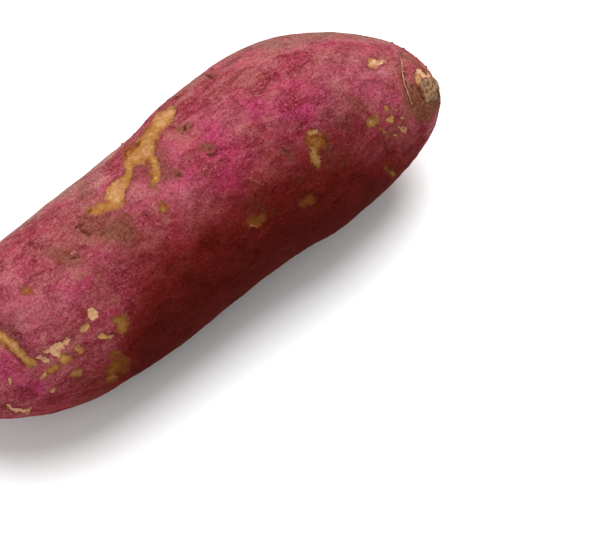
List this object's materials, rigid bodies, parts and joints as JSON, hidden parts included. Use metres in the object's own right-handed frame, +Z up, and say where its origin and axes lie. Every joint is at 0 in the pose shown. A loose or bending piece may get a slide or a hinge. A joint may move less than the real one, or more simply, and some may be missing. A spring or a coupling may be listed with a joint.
{
  "type": "sweet potato",
  "caption": "Whole storage root with red-purple skin, blunt rounded ends, a stem scar and a thin broken root tail, lying on its side.",
  "frame": {"origin": "on the surface that the root rests on, under the middle of its bounding box", "axes": "+X along the root towards its stem scar, +Z up, +Y aside, with the root tail at -X"},
  "size_m": [0.1848, 0.0654, 0.0579],
  "materials": {
    "skin": "matt, fine-grained skin of a root, red-purple with tan corky patches"
  },
  "bodies": {
    "root": {"sweet_potato": "skin"}
  },
  "joints": []
}
